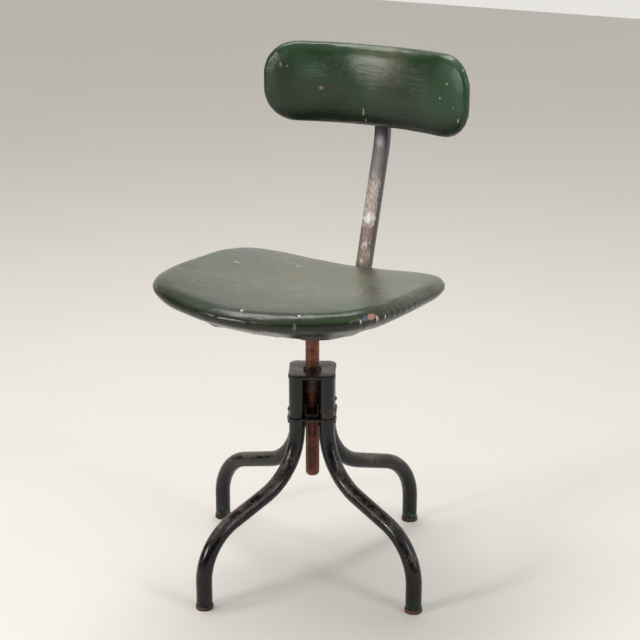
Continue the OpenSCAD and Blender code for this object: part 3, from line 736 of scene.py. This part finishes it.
# Rolls and one dip: turn and half width in turns, height and depth in mm
SEAT_ROLLS = (
    (0.655, 0.045, -5, -40),
    (0.635, 0.01, 5, -36),
    (0.688, 0.012, 5, -44),
    (0.88, 0.03, 8, -47),
    (0.85, 0.012, 5, -48),
    (0.921, 0.008, 4, -45),
    (0.96, 0.01, 3, -42),
)
for turn, width, height, depth in SEAT_ROLLS:
    lump(seat_cushion, seat_pad, turn, width, height * MM, depth * MM, half_depth=8 * MM)
pleats(
    seat_cushion, seat_pad, first=0.9, last=0.02, count=10, height=1.9 * MM, low=-36 * MM,
    high=6 * MM
)
pleats(
    seat_cushion, seat_pad, first=0.56, last=0.61, count=7, height=0.6 * MM, low=-34 * MM, high=0
)
cut_edge(seat_cushion, seat_pad, edge_inset=82 * MM, wander=3.5 * MM, seed=2.0, rise=9.6 * MM)

back_cushion = blown_up(
    "back_cushion", back_pad, ("back_cover", "back_padding", "back_board"), "back_tacks",
    voxel=4 * MM, pull_in=1.5 * MM, cap=1.5 * MM, top_cap=0.4 * MM, sink=-0.2 * MM,
    smooth_above=4 * MM, pinned_from=26 * MM
)
even_face(back_cushion, back_pad, from_inset=9 * MM, rounds=90)
pull_folds(
    back_cushion, back_pad, tacks=33, seed=11.0, height=0.9 * MM, from_depth=8 * MM,
    fade_inset=27 * MM
)
cut_edge(back_cushion, back_pad, edge_inset=35 * MM, wander=2.5 * MM, seed=7.0, rise=7.6 * MM)

for cushion, material, body, hidden in (
    (seat_cushion, seat_cloth, "seat", ("seat_cover", "seat_padding")),
    (back_cushion, back_cloth, "backrest", ("back_cover", "back_padding")),
):
    cushion.data.materials.clear()
    cushion.data.materials.append(material)
    shade_smooth(cushion.data)
    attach(cushion, body)
    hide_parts(*hidden)


# ---------- the spindle with its thread ----------

def threaded_rod(name, low, high, radius, lead, depth, dome, sharp_from, thread_end, material):
    """Rod with a rounded lower end and a right-hand thread.

    The thread is shallow from wear below sharp_from and fades out at both of its ends.
    """
    around, dome_rings, rings_per_turn = 72, 7, 12
    turns = np.arange(around) / around
    heights = list(np.arange(low + dome, high, lead / rings_per_turn)) + [high]
    bm = bmesh.new()
    rings = []
    for k in range(dome_rings):
        a = (k + 1) / (dome_rings + 1) * math.pi / 2
        z, r = low + dome * (1 - math.cos(a)), radius - dome + dome * math.sin(a)
        rings.append([(r * math.cos(t), r * math.sin(t), z) for t in turns * math.tau])
    for z in heights:
        fade = min(1, max(0, (z - low - dome) / lead)) * min(1, max(0, (thread_end - z) / lead))
        fade *= 0.45 + 0.55 * min(1, max(0, (z - sharp_from) / lead))
        ring = []
        for t in turns:
            phase = (z / lead - t) % 1
            groove = max(0.0, 1 - abs(phase - 0.5) / 0.24)
            r = radius - depth * fade * min(1, groove * 1.4)
            ring.append((r * math.cos(t * math.tau), r * math.sin(t * math.tau), z))
        rings.append(ring)
    made = [[bm.verts.new(p) for p in ring] for ring in rings]
    for a, b in zip(made, made[1:]):
        for i in range(around):
            j = (i + 1) % around
            bm.faces.new((a[i], a[j], b[j], b[i]))
    bm.faces.new(made[0][::-1])
    bm.faces.new(made[-1])
    mesh = bpy.data.meshes.new(name)
    bm.to_mesh(mesh)
    bm.free()
    obj = new_object(name, mesh, material)
    shade_smooth(mesh, 50)
    return obj


spindle_low, spindle_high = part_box("spindle")
THREAD_LEAD = 0.00508
spindle_rust = rusty_steel("spindle_rust", "4a2517", "8a5038")
spindle = threaded_rod(
    "threaded_spindle", spindle_low.z, spindle_high.z, radius=spindle_high.x, lead=THREAD_LEAD,
    depth=0.8 * MM, dome=6 * MM, sharp_from=0.335, thread_end=0.405, material=spindle_rust
)
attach(spindle, "seat")
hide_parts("spindle")


# ---------- CAD nodes that stay ----------

def finish_node(name, material, bevel=0.0):
    """Gives a CAD node its material and, where its edges show, a small bevel."""
    smooth_angle, bevel_angle = 35, 40
    obj = nodes[name]
    obj.data.materials.clear()
    obj.data.materials.append(material)
    shade_smooth(obj.data, smooth_angle)
    if bevel:
        weld = obj.modifiers.new("weld", "WELD")
        weld.merge_threshold = 0.01 * MM
        edge = obj.modifiers.new("edge", "BEVEL")
        edge.width = bevel
        edge.segments = 3
        edge.limit_method = "ANGLE"
        edge.angle_limit = math.radians(bevel_angle)


# How rusty each leg is, and how flecked with green near its foot
LEG_WEAR = {"front": (1.0, 0.0), "left": (0.7, 0.5), "rear": (0.9, 0.9), "right": (1.0, 0.9)}
leg_paint = {
    side: black_paint(f"leg_paint_{side}", rust=rust, foot_flecks=flecks)
    for side, (rust, flecks) in LEG_WEAR.items()
}
plate_paint = black_paint("plate_paint", rust=0.2, dusty_top=0.9)
column_paint = black_paint("column_paint", rust=0.2, dusty_top=0.3)
inner_paint = black_paint("inner_paint", rust=0.0, specular=0.15)
bar_paint = worn_bar_paint("bar_paint")
foot_metal = foot_steel("foot_metal")
screw_steel = dull_steel("screw_steel")
rivet_steel = dull_steel("rivet_steel", "3b3733")
# Painted shade: the nut and thrust washer get a darker rust, which stands for the shadow of the
# tubes round them
nut_rust_painted_shade = rusty_steel("nut_rust_painted_shade", "1d1411", "4a2f23")
ply = plywood("board_plywood")

for side, paint in leg_paint.items():
    finish_node(f"leg_{side}", paint)
    finish_node(f"foot_{side}", foot_metal, 0.5 * MM)
finish_node("head_plate", plate_paint, 0.6 * MM)
for name in ("guide_plate", "side_plates"):
    finish_node(name, column_paint, 0.4 * MM)
finish_node("guide_brackets", inner_paint)
finish_node("column_rivets", rivet_steel)
finish_node("spindle_nut", nut_rust_painted_shade, 0.5 * MM)
finish_node("thrust_washer", nut_rust_painted_shade, 0.3 * MM)
for name in ("seat_flange", "bar_guide", "back_carrier", "pivot_bracket"):
    finish_node(name, column_paint, 0.5 * MM)
finish_node("back_bar", bar_paint, 1.2 * MM)
for name in (
    "spindle_pin", "flange_screws", "guide_screws", "bar_clamp_screw", "carrier_screw",
    "pivot_pins", "bracket_screws"
):
    finish_node(name, screw_steel, 0.25 * MM)
for name in ("seat_tacks", "back_tacks"):
    finish_node(name, screw_steel)
for name in ("seat_board", "back_board"):
    finish_node(name, ply)


# ---------- floor, light and camera ----------

def floor():
    half = 6
    corners = [(-half, -half, 0), (half, -half, 0), (half, half, 0), (-half, half, 0)]
    mesh = bpy.data.meshes.new("floor")
    mesh.from_pydata(corners, [], [(0, 1, 2, 3)])
    g = Graph("pale_floor")
    tone = g.mix(g.noise(3, 3), rgb("d3cfca"), rgb("d8d5d0"))
    rough = g.step(g.noise(40, 3), 0.3, 0.7, 0.75, 0.85)
    obj = new_object("floor", mesh, g.look(tone, rough))


def soft_light(name, place, aim, size, watts, colour):
    data = bpy.data.lights.new(name, "AREA")
    data.shape = "RECTANGLE"
    data.size, data.size_y = size
    data.energy = watts
    data.color = colour
    obj = bpy.data.objects.new(name, data)
    bpy.context.scene.collection.objects.link(obj)
    obj.location = place
    obj.rotation_euler = (Vector(aim) - Vector(place)).to_track_quat("-Z", "Y").to_euler()


def surround(above, behind, front):
    """Room light: bright overhead and behind the chair, darker in front.

    The camera sees a plain pale wall instead.
    """
    wall = 0.8
    world = bpy.data.worlds.new("studio")
    world.use_nodes = True
    tree = world.node_tree
    background = tree.nodes["Background"]
    way = tree.nodes.new("ShaderNodeTexCoord").outputs["Generated"]
    split = tree.nodes.new("ShaderNodeSeparateXYZ")
    tree.links.new(way, split.inputs[0])
    across = smooth_step(tree, split.outputs["Y"], -0.15, 0.45, front, behind)
    glow = smooth_step(tree, split.outputs["Z"], 0.42, 0.66, across, above)
    ray = tree.nodes.new("ShaderNodeLightPath")
    seen = tree.nodes.new("ShaderNodeMix")
    tree.links.new(ray.outputs["Is Camera Ray"], seen.inputs[0])
    tree.links.new(glow, seen.inputs[2])
    seen.inputs[3].default_value = wall
    background.inputs["Color"].default_value = (1, 0.975, 0.93, 1)
    tree.links.new(seen.outputs[0], background.inputs["Strength"])
    bpy.context.scene.world = world


def camera(place, tilt, azimuth, lens):
    """The photo's camera: angles in degrees, a lens in mm on a 36 mm wide sensor."""
    data = bpy.data.cameras.new("camera")
    data.sensor_width = 36
    data.lens = lens
    obj = bpy.data.objects.new("camera", data)
    bpy.context.scene.collection.objects.link(obj)
    obj.location = place
    obj.rotation_euler = (math.radians(tilt), 0, math.radians(azimuth))
    bpy.context.scene.camera = obj


floor()
surround(above=0.75, behind=1.0, front=0.05)
soft_light(
    "overhead", place=(-0.67, 0.21, 2.6), aim=(0.05, -0.2, 0.5), size=(2.4, 0.5), watts=40,
    colour=(1.0, 0.99, 0.97)
)
soft_light(
    "window", place=(-1.14, -2.09, 1.08), aim=(0.02, 0.2, 0.78), size=(0.45, 0.4), watts=24,
    colour=(1.0, 0.98, 0.95)
)
soft_light(
    "fill", place=(2.4, -0.5, 1.5), aim=(0, 0, 0.3), size=(0.6, 1.6), watts=20,
    colour=(0.88, 0.94, 1.0)
)
camera(place=(1.1543, -2.1452, 1.2580), tilt=71.04, azimuth=28, lens=92.2)
bpy.context.scene.view_settings.view_transform = "Standard"
